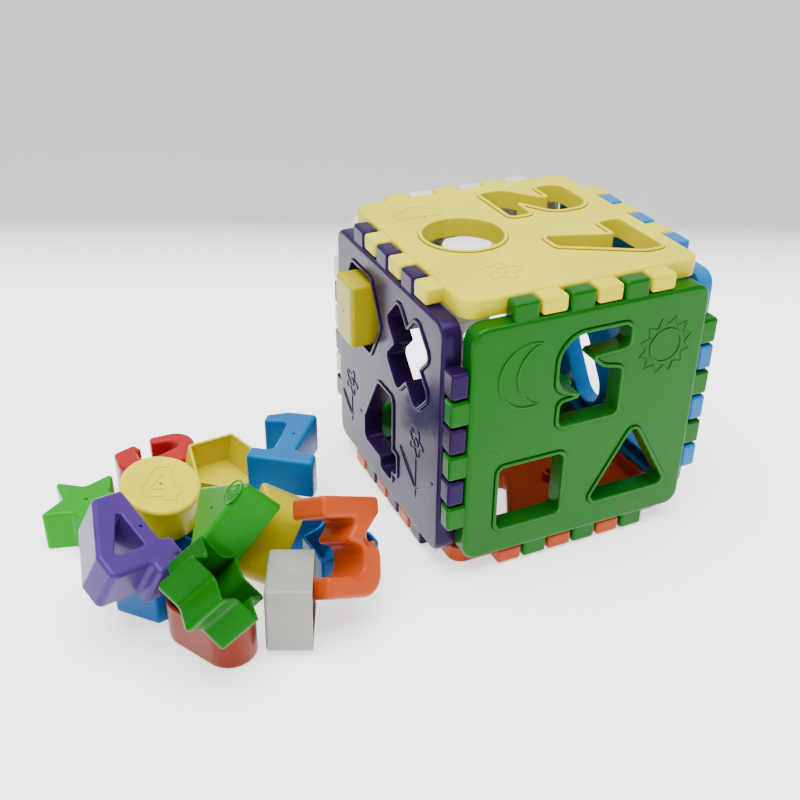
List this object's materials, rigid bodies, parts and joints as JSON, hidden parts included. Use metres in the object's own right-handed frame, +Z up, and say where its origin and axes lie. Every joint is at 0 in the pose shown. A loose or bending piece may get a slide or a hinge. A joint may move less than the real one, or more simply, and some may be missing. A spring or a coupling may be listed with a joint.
{
  "type": "shape sorter",
  "caption": "Finger-jointed sorting cube with shaped holes in every panel, and hollow sorting blocks in a heap beside it.",
  "frame": {"origin": "on the table under the centre of the cube", "axes": "+X to the cube's right, +Y to its back, +Z up; the heap of blocks lies on the -X side"},
  "size_m": [0.3284, 0.1859, 0.1509],
  "materials": {
    "bottom_panel": "satin",
    "front_panel": "satin",
    "left_panel": "satin",
    "right_panel": "satin",
    "back_panel": "satin",
    "top_panel": "satin",
    "rectangle_block": "satin",
    "star_block": "satin",
    "six_block": "satin",
    "circle_block": "satin",
    "pentagon_block": "satin",
    "one_block": "satin",
    "four_block": "satin",
    "triangle_block": "satin",
    "half_round_block": "satin",
    "three_block": "satin",
    "six_star_block": "satin",
    "stadium_block": "satin",
    "square_block": "satin",
    "seven_block": "satin",
    "hexagon_block": "satin",
    "two_block": "satin",
    "cross_block": "satin",
    "five_block": "satin"
  },
  "bodies": {
    "bottom_side": {"bottom_panel": "bottom_panel"},
    "front_side": {"front_panel": "front_panel"},
    "left_side": {"left_panel": "left_panel"},
    "right_side": {"right_panel": "right_panel"},
    "back_side": {"back_panel": "back_panel"},
    "top_side": {"top_panel": "top_panel"},
    "rectangle": {"rectangle_block": "rectangle_block"},
    "star": {"star_block": "star_block"},
    "six": {"six_block": "six_block"},
    "circle": {"circle_block": "circle_block"},
    "pentagon": {"pentagon_block": "pentagon_block"},
    "one": {"one_block": "one_block"},
    "four": {"four_block": "four_block"},
    "triangle": {"triangle_block": "triangle_block"},
    "half_round": {"half_round_block": "half_round_block"},
    "three": {"three_block": "three_block"},
    "six_star": {"six_star_block": "six_star_block"},
    "stadium": {"stadium_block": "stadium_block"},
    "square": {"square_block": "square_block"},
    "seven": {"seven_block": "seven_block"},
    "hexagon": {"hexagon_block": "hexagon_block"},
    "two": {"two_block": "two_block"},
    "cross": {"cross_block": "cross_block"},
    "five": {"five_block": "five_block"}
  },
  "joints": [
    {"name": "front_side_slide", "type": "slide", "parent": "bottom_side", "child": "front_side", "axis": [0, -1, 0], "range_m": [0, 0.06]},
    {"name": "left_side_slide", "type": "slide", "parent": "bottom_side", "child": "left_side", "axis": [-1, 0, 0], "range_m": [0, 0.015]},
    {"name": "right_side_slide", "type": "slide", "parent": "bottom_side", "child": "right_side", "axis": [1, 0, 0], "range_m": [0, 0.06]},
    {"name": "back_side_slide", "type": "slide", "parent": "bottom_side", "child": "back_side", "axis": [0, 1, 0], "range_m": [0, 0.06]},
    {"name": "top_side_slide", "type": "slide", "parent": "bottom_side", "child": "top_side", "axis": [0, 0, 1], "range_m": [0, 0.06]},
    {"name": "rectangle_slide", "type": "slide", "parent": "left_side", "child": "rectangle", "axis": [-1, 0, 0], "range_m": [-0.03, 0.05]},
    {"name": "star_slide", "type": "slide", "parent": "bottom_side", "child": "star", "axis": [-1, 0, 0], "range_m": [0, 0.06]},
    {"name": "six_slide", "type": "slide", "parent": "bottom_side", "child": "six", "axis": [0, 1, 0], "range_m": [0, 0.06]},
    {"name": "circle_slide", "type": "slide", "parent": "two", "child": "circle", "axis": [0, 0, 1], "range_m": [0, 0.06]},
    {"name": "pentagon_slide", "type": "slide", "parent": "bottom_side", "child": "pentagon", "axis": [0, 0, 1], "range_m": [0, 0.06]},
    {"name": "one_slide", "type": "slide", "parent": "pentagon", "child": "one", "axis": [0, 0, 1], "range_m": [0, 0.06]},
    {"name": "four_slide", "type": "slide", "parent": "bottom_side", "child": "four", "axis": [0, 0, 1], "range_m": [0, 0.06]},
    {"name": "triangle_slide", "type": "slide", "parent": "half_round", "child": "triangle", "axis": [0, 0, 1], "range_m": [0, 0.06]},
    {"name": "half_round_slide", "type": "slide", "parent": "bottom_side", "child": "half_round", "axis": [0, 0, 1], "range_m": [0, 0.06]},
    {"name": "three_slide", "type": "slide", "parent": "square", "child": "three", "axis": [0.5, -0.866, 0], "range_m": [0, 0.06]},
    {"name": "six_star_slide", "type": "slide", "parent": "stadium", "child": "six_star", "axis": [0, 0, 1], "range_m": [0, 0.06]},
    {"name": "stadium_slide", "type": "slide", "parent": "bottom_side", "child": "stadium", "axis": [-0.5, -0.866, 0], "range_m": [0, 0.06]},
    {"name": "square_slide", "type": "slide", "parent": "five", "child": "square", "axis": [0, -1, 0], "range_m": [0, 0.06]},
    {"name": "seven_slide", "type": "slide", "parent": "bottom_side", "child": "seven", "axis": [0, 0, 1], "range_m": [0, 0.06]},
    {"name": "hexagon_slide", "type": "slide", "parent": "bottom_side", "child": "hexagon", "axis": [-1, 0, 0], "range_m": [0, 0.06]},
    {"name": "two_slide", "type": "slide", "parent": "bottom_side", "child": "two", "axis": [0, 0, 1], "range_m": [0, 0.06]},
    {"name": "cross_slide", "type": "slide", "parent": "bottom_side", "child": "cross", "axis": [0, 0, 1], "range_m": [0, 0.06]},
    {"name": "five_slide", "type": "slide", "parent": "bottom_side", "child": "five", "axis": [0.2588, -0.9659, 0], "range_m": [0, 0.03]}
  ]
}
